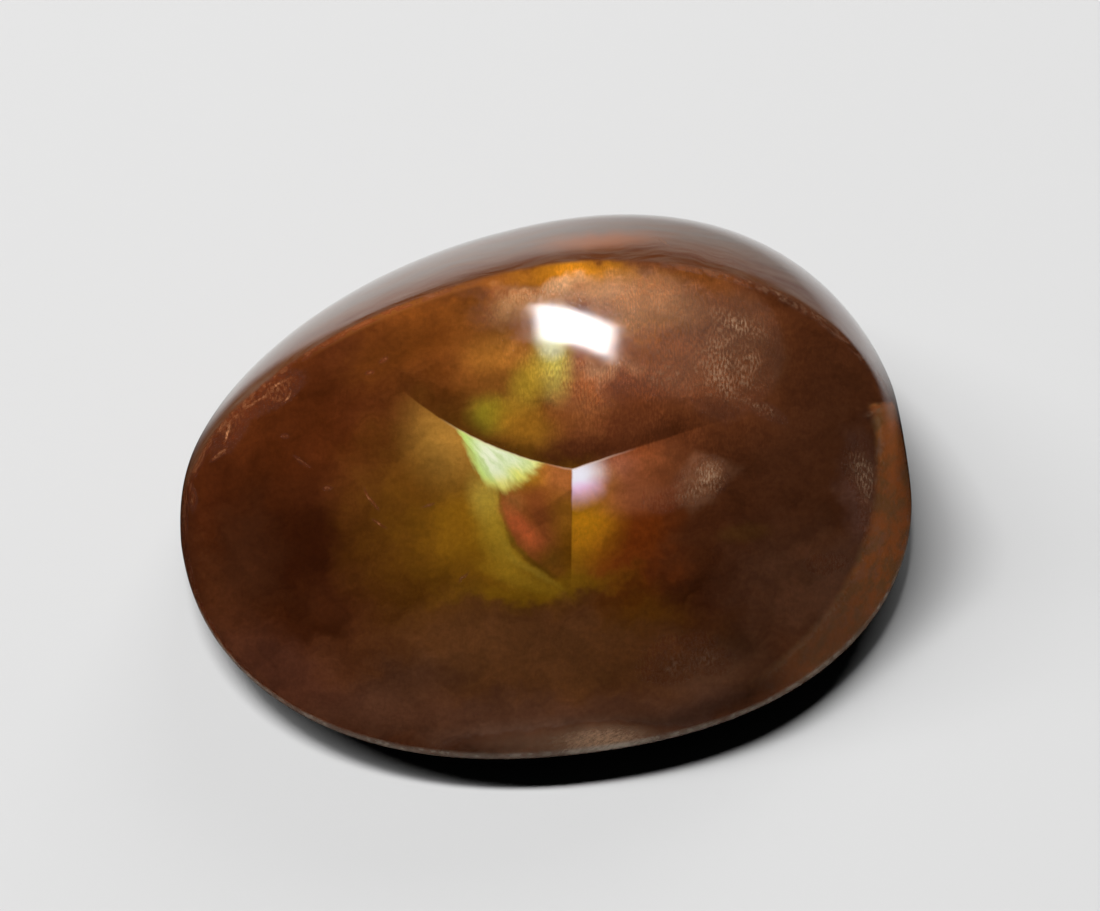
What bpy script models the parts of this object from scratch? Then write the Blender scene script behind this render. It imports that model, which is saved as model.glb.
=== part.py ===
"""A fire agate cabochon: one polished stone with a domed face, a crest, a back slope and a flat base.

The stone is the space inside five surfaces: the face, the back slope, a ground band at the
lower right rim, the bevel under the girdle and the flat base. The face and the back both start
from the girdle's outline and lean to tops of their own, and they cross in the crest.
Each surface is a formula below, and neighbours meet in a small rounding.
X runs along the stone, Y away from the face and Z up. The base rests on Z = 0.
"""
import math

import bpy
import numpy as np

MM = 0.001

# Girdle: the widest outline, seen from above
HALF_LENGTH = 11.15 * MM
NEAR_DEPTH = 9.25 * MM
FAR_DEPTH = 9.15 * MM
NEAR_TAPER = -0.02
FAR_TAPER = 0.23
NEAR_POWER = 2.2
FAR_POWER = 2.13
GIRDLE_HEIGHT = 1.1 * MM
UNDER_DRAFT = math.radians(40)

# Face: the side with the colours. Its top lies back towards the crest
FACE_HEIGHT = 9.03 * MM
FACE_LEAN = (-0.12 * MM, 2.46 * MM)
FACE_POWER = 2.31

# Back slope: a taller form that leans the other way, so that it cuts the face in the crest
BACK_HEIGHT = 10.08 * MM
BACK_LEAN = (-0.3 * MM, -2.68 * MM)
BACK_POWER = 2.215

# Band: ground off the rim, deepest at one heading and fading out on both sides of it
BAND_DEPTH = 0.18 * MM
BAND_DRAFT = math.radians(10)
BAND_HEADING = math.radians(-28)
BAND_FADE = 1.5 * MM

# Roundings where two surfaces meet
CREST_ROUNDING = 0.08 * MM
BAND_ROUNDING = 0.08 * MM
GIRDLE_ROUNDING = 0.4 * MM
BASE_ROUNDING = 0.15 * MM

# Mesh: rays leave one point inside the stone. Their axis is square to the face, which puts
# one pole on the face and the other on the base, and the edges of the stone in rings round it
RAY_START = (0, -1.5 * MM, 3.0 * MM)
RAY_TILT = math.radians(45)
RAY_REACH = 20 * MM
HALVINGS = 40
SECTORS = 112
FACE_RINGS = 20
BACK_RINGS = 11
UNDER_RINGS = 4
BASE_RINGS = 3
LOWEST_ANGLE = math.radians(-89)
HIGHEST_ANGLE = math.radians(89)
EDGE_GAP = math.radians(0.9)


def rounded_max(a, b, rounding):
    """The larger of two fields, blended where they differ by less than the rounding."""
    near = np.maximum(rounding - np.abs(a - b), 0) / rounding
    return np.maximum(a, b) + near * near * rounding / 4


def outline_share(x, y):
    """1 on the girdle's outline, less inside it and more outside."""
    near = y < 0
    taper = np.where(near, NEAR_TAPER, FAR_TAPER)
    depth = np.where(near, NEAR_DEPTH, FAR_DEPTH) * (1 + taper * x / HALF_LENGTH)
    power = np.where(near, NEAR_POWER, FAR_POWER)
    return (np.abs(x / HALF_LENGTH) ** power + np.abs(y / depth) ** power) ** (1 / power)


def outside_outline(x, y):
    """How far a point is outside the girdle's outline."""
    share = outline_share(x, y)
    return (share - 1) * np.hypot(x, y) / np.maximum(share, 1e-9)


def leaning_dome(x, y, z, height, lean, power):
    """Below zero inside a dome that stands on the outline and leans to its top."""
    rise = np.maximum(z - GIRDLE_HEIGHT, 0)
    qx = x - lean[0] * rise / height
    qy = y - lean[1] * rise / height
    share = (outline_share(qx, qy) ** power + (rise / height) ** power) ** (1 / power)
    reach = np.sqrt(qx ** 2 + qy ** 2 + rise ** 2)
    return (share - 1) * reach / np.maximum(share, 1e-9)


def face_field(x, y, z):
    return leaning_dome(x, y, z, FACE_HEIGHT, FACE_LEAN, FACE_POWER)


def back_field(x, y, z):
    return leaning_dome(x, y, z, BACK_HEIGHT, BACK_LEAN, BACK_POWER)


def band_field(x, y, z):
    heading = np.arctan2(y, x) - BAND_HEADING
    depth = BAND_DEPTH - BAND_FADE * (1 - np.cos(heading))
    lean = (z - GIRDLE_HEIGHT) * math.tan(BAND_DRAFT)
    return (outside_outline(x, y) + depth + lean) * math.cos(BAND_DRAFT)


def under_field(x, y, z):
    lean = np.maximum(GIRDLE_HEIGHT - z, 0) * math.tan(UNDER_DRAFT)
    return (outside_outline(x, y) + lean) * math.cos(UNDER_DRAFT)


def stone_field(x, y, z):
    """Below zero inside the stone."""
    field = rounded_max(face_field(x, y, z), back_field(x, y, z), CREST_ROUNDING)
    field = rounded_max(field, band_field(x, y, z), BAND_ROUNDING)
    field = rounded_max(field, under_field(x, y, z), GIRDLE_ROUNDING)
    return rounded_max(field, -z, BASE_ROUNDING)


def surface_point(heading, angle):
    """The stone's surface along the ray with this heading round the axis and angle towards it."""
    across = np.cos(angle) * np.sin(heading)
    direction = (
        np.cos(angle) * np.cos(heading),
        across * math.cos(RAY_TILT) - np.sin(angle) * math.sin(RAY_TILT),
        across * math.sin(RAY_TILT) + np.sin(angle) * math.cos(RAY_TILT),
    )
    inner = np.zeros(np.shape(angle))
    outer = np.full(np.shape(angle), RAY_REACH)
    for _ in range(HALVINGS):
        middle = (inner + outer) / 2
        point = [start + step * middle for start, step in zip(RAY_START, direction)]
        inside = stone_field(*point) < 0
        inner = np.where(inside, middle, inner)
        outer = np.where(inside, outer, middle)
    return [start + step * inner for start, step in zip(RAY_START, direction)]


def edge_angle(heading, is_above):
    """The angle at which the surface passes from below an edge to above it."""
    low = np.full(heading.shape, LOWEST_ANGLE)
    high = np.full(heading.shape, HIGHEST_ANGLE)
    for _ in range(HALVINGS):
        middle = (low + high) / 2
        above = is_above(*surface_point(heading, middle))
        high = np.where(above, middle, high)
        low = np.where(above, low, middle)
    return (low + high) / 2


def on_face(x, y, z):
    others = np.maximum(back_field(x, y, z), band_field(x, y, z))
    return (face_field(x, y, z) > others) & (z > GIRDLE_HEIGHT)


def above_girdle(x, y, z):
    return z > GIRDLE_HEIGHT


def above_base_edge(x, y, z):
    return under_field(x, y, z) > -z


def rings_between(low, high, count):
    """Evenly spaced ring angles after the low ring and before the high one."""
    return [low + (high - low) * (i + 1) / (count + 1) for i in range(count)]


def ring_angles(heading):
    """The angle of every ring at every heading, from the pole on the base to the one on the face."""
    lowest = np.full(heading.shape, LOWEST_ANGLE)
    highest = np.full(heading.shape, HIGHEST_ANGLE)
    base = edge_angle(heading, above_base_edge)
    girdle = edge_angle(heading, above_girdle)
    face = edge_angle(heading, on_face)
    face = np.maximum(face, girdle + 3 * EDGE_GAP)
    rings = [lowest]
    rings += rings_between(lowest, base, BASE_RINGS)
    rings.append(base)
    rings += rings_between(base, girdle, UNDER_RINGS)
    rings.append(girdle)
    rings += rings_between(girdle, face - EDGE_GAP, BACK_RINGS)
    rings += [face - EDGE_GAP, face, face + EDGE_GAP]
    rings += rings_between(face + EDGE_GAP, highest, FACE_RINGS)
    rings.append(highest)
    return np.array(rings)


def stone_mesh(name):
    """A closed mesh: rings of points, with one point at each pole."""
    heading = np.arange(SECTORS) * 2 * math.pi / SECTORS
    angles = ring_angles(heading)
    rings = np.stack(surface_point(np.broadcast_to(heading, angles.shape), angles), axis=-1)
    poles = np.stack(surface_point(np.zeros(2), np.array((-math.pi / 2, math.pi / 2))), axis=-1)
    points = np.array([poles[0], *rings.reshape(-1, 3), poles[1]])
    points[:, :2] -= (points[:, :2].min(axis=0) + points[:, :2].max(axis=0)) / 2
    points[:, 2] = np.maximum(points[:, 2], 0)

    def index(ring, sector):
        return 1 + ring * SECTORS + sector % SECTORS

    last_ring = len(rings) - 1
    last_point = len(points) - 1
    faces = []
    for sector in range(SECTORS):
        faces.append((0, index(0, sector + 1), index(0, sector)))
        faces.append((last_point, index(last_ring, sector), index(last_ring, sector + 1)))
        for ring in range(last_ring):
            lower = (index(ring, sector), index(ring, sector + 1))
            upper = (index(ring + 1, sector + 1), index(ring + 1, sector))
            faces.append(lower + upper)
    mesh = bpy.data.meshes.new(name)
    mesh.from_pydata(points.tolist(), [], faces)
    mesh.update()
    return mesh


def agate_material():
    material = bpy.data.materials.new("agate")
    material.use_nodes = True
    shader = material.node_tree.nodes["Principled BSDF"]
    shader.inputs["Base Color"].default_value = (0.10, 0.028, 0.008, 1)
    shader.inputs["Roughness"].default_value = 0.08
    shader.inputs["Metallic"].default_value = 0
    shader.inputs["IOR"].default_value = 1.54
    return material


for old in list(bpy.data.objects):
    bpy.data.objects.remove(old)

stone = bpy.data.objects.new("fire_agate_cabochon", stone_mesh("fire_agate_cabochon"))
bpy.context.scene.collection.objects.link(stone)
stone.data.materials.append(agate_material())
stone.data.shade_smooth()
stone.data.set_sharp_from_angle(angle=math.radians(30))
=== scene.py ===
"""Fire agate cabochon: a clear polished outside over a bubbled fire layer, on a pale table.

The stone is one solid with two looks, each a closed mesh: the clear outside and the fire layer.
Places on the face are (right, up) in mm as the photograph shows them, measured by face_place.
"""
import math
from collections import namedtuple

import bpy
import numpy as np
from mathutils import Matrix, Vector


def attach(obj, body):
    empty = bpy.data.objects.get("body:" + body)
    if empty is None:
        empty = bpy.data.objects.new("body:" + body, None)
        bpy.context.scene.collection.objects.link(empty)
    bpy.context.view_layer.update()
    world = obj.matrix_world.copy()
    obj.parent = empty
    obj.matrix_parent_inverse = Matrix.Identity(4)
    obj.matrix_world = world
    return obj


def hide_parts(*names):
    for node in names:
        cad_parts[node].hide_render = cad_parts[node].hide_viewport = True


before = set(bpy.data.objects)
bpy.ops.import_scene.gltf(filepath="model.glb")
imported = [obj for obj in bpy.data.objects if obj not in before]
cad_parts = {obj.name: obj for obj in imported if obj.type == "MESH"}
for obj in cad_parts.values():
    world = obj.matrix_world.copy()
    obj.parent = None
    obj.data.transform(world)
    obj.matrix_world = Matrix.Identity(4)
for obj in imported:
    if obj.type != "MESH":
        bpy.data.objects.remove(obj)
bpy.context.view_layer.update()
scene = bpy.context.scene

MM = 0.001

# The stone's form, as in the CAD source. See the surface functions for what each value does
HALF_LENGTH = 11.15 * MM
NEAR_DEPTH = 9.25 * MM
FAR_DEPTH = 9.15 * MM
NEAR_TAPER = -0.02
FAR_TAPER = 0.23
NEAR_POWER = 2.2
FAR_POWER = 2.13
GIRDLE_HEIGHT = 1.1 * MM
UNDER_DRAFT = math.radians(40)
FACE_HEIGHT = 9.03 * MM
FACE_LEAN = (-0.12 * MM, 2.46 * MM)
FACE_POWER = 2.31
BACK_HEIGHT = 10.08 * MM
BACK_LEAN = (-0.3 * MM, -2.68 * MM)
BACK_POWER = 2.215
BAND_DEPTH = 0.18 * MM
BAND_DRAFT = math.radians(10)
BAND_HEADING = math.radians(-28)
BAND_FADE = 1.5 * MM
CREST_ROUNDING = 0.08 * MM
BAND_ROUNDING = 0.08 * MM
GIRDLE_ROUNDING = 0.4 * MM
BASE_ROUNDING = 0.15 * MM

# Wear that only the looks have
BEVEL_START = 1.6 * MM
BEVEL_END = 6.6 * MM
BEVEL_FADE = 0.8 * MM
BEVEL_SPREAD = 1.83
BEVEL_CUT = 0.05 * MM
BEVEL_ROUNDING = 0.02 * MM
NICK_PLACE = (-0.95 * MM, -9.62 * MM, 0.75 * MM)
NICK_SIZE = (1.0 * MM, 0.5 * MM, 0.5 * MM)
NICK_ROUNDING = 0.05 * MM

# Mesh: rays leave one point inside the stone, round an axis square to the face
RAY_START = (0, -1.5 * MM, 3.0 * MM)
RAY_TILT = math.radians(45)
RAY_REACH = 20 * MM
HALVINGS = 34
EDGE_GAP = math.radians(0.9)
EDGE_SHARES = (-1, -0.66, -0.33, 0, 0.33, 0.66, 1)
LOWEST_ANGLE = math.radians(-89.7)
HIGHEST_ANGLE = math.radians(89.7)
is_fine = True
SECTORS = 448 if is_fine else 160
FACE_RINGS = 120 if is_fine else 44
BACK_RINGS = 50 if is_fine else 20
UNDER_RINGS = 10 if is_fine else 5
BASE_RINGS = 5 if is_fine else 3

# View: the photograph's directions on the stone, and what its frame covers
VIEW_TURN = math.radians(8)
VIEW_RISE = math.radians(52)
RIGHT = np.array((math.cos(VIEW_TURN), -math.sin(VIEW_TURN), 0))
AWAY = np.array((math.sin(VIEW_TURN), math.cos(VIEW_TURN), 0))
UP = AWAY * math.sin(VIEW_RISE) + np.array((0, 0, math.cos(VIEW_RISE)))
TO_VIEWER = -AWAY * math.cos(VIEW_RISE) + np.array((0, 0, math.sin(VIEW_RISE)))
FACE_ORIGIN = (-0.03, 0.406)
VIEW_WIDTH = 33.11 * MM
VIEW_MIDDLE = (0.12 * MM, 2.35 * MM)
CAMERA_DISTANCE = 0.6
SENSOR_WIDTH = 36

# Fire layer: how deep it lies, and the creases where its bubbles meet, in mm across the face.
# An arc comes in from the left and a line from the right, a third crease runs down from where
# they join, and a fourth goes along the left of the drop
SKIN = 0.03 * MM
FIRE_DEPTH = 0.85 * MM
FIRE_REACH = 2.2 * MM
JUNCTION = (0.774, 1.511)
ARC_CENTRE = (2.28, 11.29)
ARC_RADIUS = math.hypot(JUNCTION[0] - ARC_CENTRE[0], JUNCTION[1] - ARC_CENTRE[1])
RIGHT_CREASE = math.radians(18)
SIDE_CREASE = math.radians(-90.5)
DROP_TOP = (-1.45, 0.96)
DROP_FOOT = (0.42, -1.54)
DROP_CREASE = math.atan2(DROP_FOOT[1] - DROP_TOP[1], DROP_FOOT[0] - DROP_TOP[0])
DROP_MIDDLE = -0.3

# Each valley's half width and share of the depth, where it ends and over what length it fades
CREASE_DEPTH = 0.34
ABOVE_WIDTH = 4.0
BELOW_WIDTH = 1.9
LEFT_END = 5.98
LEFT_FADE = 4.6
RIGHT_END = 4.68
RIGHT_FADE = 3.6
SIDE_WIDTH = 1.6
SIDE_SHARE = 0.5
SIDE_END = 4.8
SIDE_FADE = 3.2
DROP_WIDTH = 0.7
DROP_SHARE = 0.3
DROP_END = 3.0
DROP_FADE = 2.0
BELOW_FADE = 0.3


def rounded_max(a, b, rounding):
    """The larger of two fields, blended where they differ by less than the rounding."""
    near = np.maximum(rounding - np.abs(a - b), 0) / rounding
    return np.maximum(a, b) + near * near * rounding / 4


def smooth_step(value):
    value = np.clip(value, 0, 1)
    return value * value * (3 - 2 * value)


def outline_share(x, y):
    """1 on the girdle's outline, less inside it and more outside."""
    near = y < 0
    taper = np.where(near, NEAR_TAPER, FAR_TAPER)
    depth = np.where(near, NEAR_DEPTH, FAR_DEPTH) * (1 + taper * x / HALF_LENGTH)
    power = np.where(near, NEAR_POWER, FAR_POWER)
    return (np.abs(x / HALF_LENGTH) ** power + np.abs(y / depth) ** power) ** (1 / power)


def outside_outline(x, y):
    """How far a point is outside the girdle's outline."""
    share = outline_share(x, y)
    return (share - 1) * np.hypot(x, y) / np.maximum(share, 1e-9)


def leaning_dome(x, y, z, height, lean, power):
    """Below zero inside a dome that stands on the outline and leans to its top."""
    rise = np.maximum(z - GIRDLE_HEIGHT, 0)
    qx = x - lean[0] * rise / height
    qy = y - lean[1] * rise / height
    share = (outline_share(qx, qy) ** power + (rise / height) ** power) ** (1 / power)
    reach = np.sqrt(qx ** 2 + qy ** 2 + rise ** 2)
    return (share - 1) * reach / np.maximum(share, 1e-9)


def face_field(x, y, z):
    return leaning_dome(x, y, z, FACE_HEIGHT, FACE_LEAN, FACE_POWER)


def back_field(x, y, z):
    return leaning_dome(x, y, z, BACK_HEIGHT, BACK_LEAN, BACK_POWER)


def band_field(x, y, z):
    heading = np.arctan2(y, x) - BAND_HEADING
    depth = BAND_DEPTH - BAND_FADE * (1 - np.cos(heading))
    lean = (z - GIRDLE_HEIGHT) * math.tan(BAND_DRAFT)
    return (outside_outline(x, y) + depth + lean) * math.cos(BAND_DRAFT)


def under_field(x, y, z):
    lean = np.maximum(GIRDLE_HEIGHT - z, 0) * math.tan(UNDER_DRAFT)
    return (outside_outline(x, y) + lean) * math.cos(UNDER_DRAFT)


def stone_field(x, y, z):
    """Below zero inside the stone."""
    field = rounded_max(face_field(x, y, z), back_field(x, y, z), CREST_ROUNDING)
    field = rounded_max(field, band_field(x, y, z), BAND_ROUNDING)
    field = rounded_max(field, under_field(x, y, z), GIRDLE_ROUNDING)
    return rounded_max(field, -z, BASE_ROUNDING)


def crest_bevel(x, y, z):
    """A narrow worn strip along the right half of the crest."""
    both = face_field(x, y, z) + back_field(x, y, z)
    along = smooth_step((x - BEVEL_START) / BEVEL_FADE) * smooth_step((BEVEL_END - x) / BEVEL_FADE)
    return both / BEVEL_SPREAD + BEVEL_CUT * (2 * along - 1)


def edge_nick(x, y, z):
    """A small scallop out of the edge nearest the viewer."""
    steps = [(value - centre) / size for value, centre, size in zip((x, y, z), NICK_PLACE, NICK_SIZE)]
    share = sum(step ** 2 for step in steps)
    return (1 - np.sqrt(share)) * NICK_SIZE[2]


def dressed_field(x, y, z):
    """The CAD's stone with its worn crest and its nick."""
    field = rounded_max(stone_field(x, y, z), crest_bevel(x, y, z), BEVEL_ROUNDING)
    return rounded_max(field, edge_nick(x, y, z), NICK_ROUNDING)


def face_place(x, y, z):
    """Where a point of the stone lies across the face: right and up, in mm."""
    right = (x * RIGHT[0] + y * RIGHT[1]) / MM - FACE_ORIGIN[0]
    up = (x * UP[0] + y * UP[1] + z * UP[2]) / MM - FACE_ORIGIN[1]
    return right, up


def beside_line(right, up, place, angle):
    """Distance to the left of a line through a place, looking along the line's angle."""
    return (up - place[1]) * math.cos(angle) - (right - place[0]) * math.sin(angle)


def cusp(distance, width):
    return np.maximum(1 - np.abs(distance) / width, 0) ** 2


def faded(distance, end, fade):
    """1 near a valley's start and 0 from its end on."""
    return smooth_step((end - distance) / fade)


def crease_relief(x, y, z):
    """How far the creases sink below the tops of the bubbles, in mm."""
    right, up = face_place(x, y, z)
    in_arc = ARC_RADIUS - np.hypot(right - ARC_CENTRE[0], up - ARC_CENTRE[1])
    over_line = beside_line(right, up, JUNCTION, RIGHT_CREASE)
    above = np.minimum(in_arc, over_line)
    is_left = right < JUNCTION[0]
    end = np.where(is_left, LEFT_END, RIGHT_END)
    fade = np.where(is_left, LEFT_FADE, RIGHT_FADE)
    width = np.where(above > 0, ABOVE_WIDTH, BELOW_WIDTH)
    valley = faded(np.abs(right - JUNCTION[0]), end, fade) * cusp(above, width)
    below = smooth_step(-above / BELOW_FADE)
    side = cusp(beside_line(right, up, JUNCTION, SIDE_CREASE), SIDE_WIDTH)
    side_valley = SIDE_SHARE * below * faded(JUNCTION[1] - up, SIDE_END, SIDE_FADE) * side
    drop = cusp(beside_line(right, up, DROP_TOP, DROP_CREASE), DROP_WIDTH)
    drop_valley = DROP_SHARE * below * faded(np.abs(up - DROP_MIDDLE), DROP_END, DROP_FADE) * drop
    return CREASE_DEPTH * np.maximum(valley, np.maximum(side_valley, drop_valley))


def fire_field(x, y, z):
    """Below zero inside the fire layer, which lies deeper under the face than under the back."""
    cover = FIRE_DEPTH + crease_relief(x, y, z) * MM
    return dressed_field(x, y, z) + SKIN + cover * smooth_step(-back_field(x, y, z) / FIRE_REACH)


def surface_point(heading, angle, field=dressed_field):
    """A body's surface along the ray with this heading round the axis and angle towards it."""
    across = np.cos(angle) * np.sin(heading)
    direction = (
        np.cos(angle) * np.cos(heading),
        across * math.cos(RAY_TILT) - np.sin(angle) * math.sin(RAY_TILT),
        across * math.sin(RAY_TILT) + np.sin(angle) * math.cos(RAY_TILT),
    )
    inner = np.zeros(np.shape(angle))
    outer = np.full(np.shape(angle), RAY_REACH)
    for _ in range(HALVINGS):
        middle = (inner + outer) / 2
        inside = field(*(start + step * middle for start, step in zip(RAY_START, direction))) < 0
        inner = np.where(inside, middle, inner)
        outer = np.where(inside, outer, middle)
    return [start + step * inner for start, step in zip(RAY_START, direction)]


def edge_angle(heading, is_above):
    """The angle at which the surface passes from below an edge to above it."""
    low = np.full(heading.shape, LOWEST_ANGLE)
    high = np.full(heading.shape, HIGHEST_ANGLE)
    for _ in range(HALVINGS):
        middle = (low + high) / 2
        above = is_above(*surface_point(heading, middle))
        high = np.where(above, middle, high)
        low = np.where(above, low, middle)
    return (low + high) / 2


def on_face(x, y, z):
    others = np.maximum(back_field(x, y, z), band_field(x, y, z))
    return (face_field(x, y, z) > others) & (z > GIRDLE_HEIGHT)


def above_girdle(x, y, z):
    return z > GIRDLE_HEIGHT


def above_base_edge(x, y, z):
    return under_field(x, y, z) > -z


def rings_between(low, high, count):
    """Evenly spaced ring angles after the low ring and before the high one."""
    return [low + (high - low) * (i + 1) / (count + 1) for i in range(count)]


def ring_angles(heading):
    """The angle of every ring at every heading, from the pole on the base to the one on the face."""
    lowest = np.full(heading.shape, LOWEST_ANGLE)
    highest = np.full(heading.shape, HIGHEST_ANGLE)
    base = edge_angle(heading, above_base_edge)
    girdle = edge_angle(heading, above_girdle)
    face = edge_angle(heading, on_face)
    face = np.maximum(face, girdle + 3 * EDGE_GAP)
    rings = [lowest]
    rings += rings_between(lowest, base, BASE_RINGS)
    rings.append(base)
    rings += rings_between(base, girdle, UNDER_RINGS)
    rings.append(girdle)
    rings += rings_between(girdle, face - EDGE_GAP, BACK_RINGS)
    rings += [face + EDGE_GAP * share for share in EDGE_SHARES]
    rings += rings_between(face + EDGE_GAP, highest, FACE_RINGS)
    rings.append(highest)
    return np.array(rings)


def middle_of(values):
    return (values.min() + values.max()) / 2


# The CAD stone is centred over the origin. The shift is how far that moved it from the formulas
one_ring = np.arange(SECTORS) * 2 * math.pi / SECTORS
angles = ring_angles(one_ring)
headings = np.broadcast_to(one_ring, angles.shape)
surface = surface_point(headings, angles)
SHIFT = np.array((-middle_of(surface[0]), -middle_of(surface[1]), 0))


def ring_faces(ring_count):
    """Faces between rings of points, with a fan at each pole. The poles are the first and last points."""
    def index(ring, sector):
        return 1 + ring * SECTORS + sector % SECTORS

    last_ring = ring_count - 1
    last_point = 1 + ring_count * SECTORS
    faces = []
    for sector in range(SECTORS):
        faces.append((0, index(0, sector + 1), index(0, sector)))
        faces.append((last_point, index(last_ring, sector), index(last_ring, sector + 1)))
        for ring in range(last_ring):
            lower = (index(ring, sector), index(ring, sector + 1))
            upper = (index(ring + 1, sector + 1), index(ring + 1, sector))
            faces.append(lower + upper)
    return faces


def body_mesh(name, field):
    """A closed mesh of a body, which also knows how far each point is behind the crest, in mm."""
    rings = np.stack(surface_point(headings, angles, field), axis=-1)
    pole_angles = np.array((-math.pi / 2, math.pi / 2))
    poles = np.stack(surface_point(np.zeros(2), pole_angles, field), axis=-1)
    points = np.array([poles[0], *rings.reshape(-1, 3), poles[1]])
    mesh = bpy.data.meshes.new(name)
    mesh.from_pydata((points + SHIFT).tolist(), [], ring_faces(len(rings)))
    mesh.update()
    mesh.shade_smooth()
    x, y, z = points.T
    behind = mesh.attributes.new("behind_crest", "FLOAT", "POINT")
    behind.data.foreach_set("value", (back_field(x, y, z) - face_field(x, y, z)) / MM)
    return mesh


def new_object(name, data):
    made = bpy.data.objects.new(name, data)
    scene.collection.objects.link(made)
    return made


def new_material(name, inputs):
    """A material with these values on its shader."""
    material = bpy.data.materials.new(name)
    material.use_nodes = True
    shader = material.node_tree.nodes["Principled BSDF"]
    for socket, value in inputs.items():
        shader.inputs[socket].default_value = value
    return material, shader


class Paint:
    """Builds a material's nodes. A value is a number, a tuple or another node's output."""

    def __init__(self, material):
        self.tree = material.node_tree

    def link(self, value, socket):
        self.tree.links.new(value, socket)

    def node(self, kind, inputs=(), **settings):
        made = self.tree.nodes.new(kind)
        for name, value in settings.items():
            setattr(made, name, value)
        for socket, value in inputs:
            if isinstance(value, bpy.types.NodeSocket):
                self.link(value, made.inputs[socket])
            else:
                made.inputs[socket].default_value = value
        return made

    def math(self, operation, *values):
        return self.node("ShaderNodeMath", enumerate(values), operation=operation).outputs[0]

    def vector(self, operation, *values):
        made = self.node("ShaderNodeVectorMath", enumerate(values), operation=operation)
        return made.outputs["Value" if operation in ("DOT_PRODUCT", "LENGTH") else "Vector"]

    def combined(self, x, y):
        return self.node("ShaderNodeCombineXYZ", enumerate((x, y))).outputs[0]

    def times(self, *values):
        total = values[0]
        for value in values[1:]:
            total = self.math("MULTIPLY", total, value)
        return total

    def smooth(self, value, low, high, start=0.0, finish=1.0):
        """From start to finish in an S-curve while the value goes from low to high."""
        inputs = zip(("Value", "From Min", "From Max", "To Min", "To Max"), (value, low, high, start, finish))
        return self.node("ShaderNodeMapRange", inputs, interpolation_type="SMOOTHSTEP").outputs["Result"]

    def noise(self, place, scale, detail, roughness, output="Fac"):
        inputs = (("Vector", place), ("Scale", scale), ("Detail", detail), ("Roughness", roughness))
        return self.node("ShaderNodeTexNoise", inputs).outputs[output]

    def grain(self, place, noise, low, high, start=0.0, finish=1.0):
        """Noise of this scale, detail and roughness, with its contrast raised."""
        return self.smooth(self.noise(place, *noise), low, high, start, finish)

    def wander(self, place, scale, detail, roughness):
        """A vector of noise round zero."""
        return self.vector("SUBTRACT", self.noise(place, scale, detail, roughness, "Color"), (0.5, 0.5, 0.5))

    def moved(self, place, wander, reach):
        """Face coordinates, moved by a wander."""
        inputs = ((0, wander), ("Scale", reach))
        step = self.node("ShaderNodeVectorMath", inputs, operation="SCALE").outputs["Vector"]
        return self.vector("MULTIPLY", self.vector("ADD", place, step), (1, 1, 0))

    def mapped(self, place, size, turn=0.0, centre=(0, 0)):
        """Coordinates that run from -1 to 1 over a patch of this half size."""
        inputs = (
            ("Vector", place), ("Location", (*centre, 0)), ("Rotation", (0, 0, turn)), ("Scale", (*size, 1)),
        )
        return self.node("ShaderNodeMapping", inputs, vector_type="TEXTURE").outputs["Vector"]

    def spot(self, place, centre, size, turn, softness):
        """1 inside a turned ellipse and 0 outside it, with an edge from 1 - softness to 1 + softness."""
        reach = tuple(value * (1 + softness) for value in size)
        inputs = (("Vector", self.mapped(place, reach, turn, centre)),)
        cone = self.node("ShaderNodeTexGradient", inputs, gradient_type="SPHERICAL").outputs["Fac"]
        return self.smooth(cone, 0, 2 * softness / (1 + softness))

    def half(self, place, point, angle, softness):
        """1 to the left of a line through a point, looking along its angle."""
        normal = (-math.sin(angle), math.cos(angle), 0)
        shift = normal[0] * point[0] + normal[1] * point[1]
        side = self.math("SUBTRACT", self.vector("DOT_PRODUCT", place, normal), shift)
        return self.smooth(side, -softness, softness)

    def polygon(self, place, corners, softness):
        """1 inside a convex polygon whose corners go round to the left. Each side has a softness."""
        sides = []
        for start, finish, soft in zip(corners, corners[1:] + corners[:1], softness):
            angle = math.atan2(finish[1] - start[1], finish[0] - start[0])
            sides.append(self.half(place, start, angle, soft))
        return self.times(*sides)

    def mix(self, below, above, amount):
        below, above = ((*tone, 1) if isinstance(tone, tuple) else tone for tone in (below, above))
        inputs = ((0, amount), (6, below), (7, above))
        return self.node("ShaderNodeMix", inputs, data_type="RGBA", clamp_factor=True).outputs[2]

    def shaded(self, colour, factor):
        """A colour times a number."""
        grey = self.node("ShaderNodeCombineColor", enumerate((factor,) * 3)).outputs["Color"]
        inputs = ((0, 1.0), (6, colour), (7, grey))
        return self.node("ShaderNodeMix", inputs, data_type="RGBA", blend_type="MULTIPLY").outputs[2]

    def patched(self, colour, place, patches, *masks):
        """A colour with soft patches over it, all cut by the masks."""
        for centre, size, turn, softness, tone, amount in patches:
            mask = self.spot(place, centre, size, turn, softness)
            colour = self.mix(colour, tone, self.times(mask, *masks, amount))
        return colour

    def stone_place(self):
        return self.node("ShaderNodeTexCoord").outputs["Object"]

    def stone_height(self):
        """Height over the table, in mm."""
        return self.vector("DOT_PRODUCT", self.stone_place(), (0, 0, 1 / MM))

    def behind_crest(self):
        """How far a point is on the back slope's side of the crest, in mm."""
        return self.node("ShaderNodeAttribute", attribute_name="behind_crest").outputs["Fac"]

    def face_coordinates(self):
        """Right and up across the face in mm, as in face_place."""
        stone = self.vector("SUBTRACT", self.stone_place(), tuple(SHIFT))
        right = self.vector("DOT_PRODUCT", stone, tuple(RIGHT))
        right = self.math("MULTIPLY_ADD", right, 1 / MM, -FACE_ORIGIN[0])
        up = self.vector("DOT_PRODUCT", stone, tuple(UP))
        up = self.math("MULTIPLY_ADD", up, 1 / MM, -FACE_ORIGIN[1])
        return self.combined(right, up)


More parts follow.
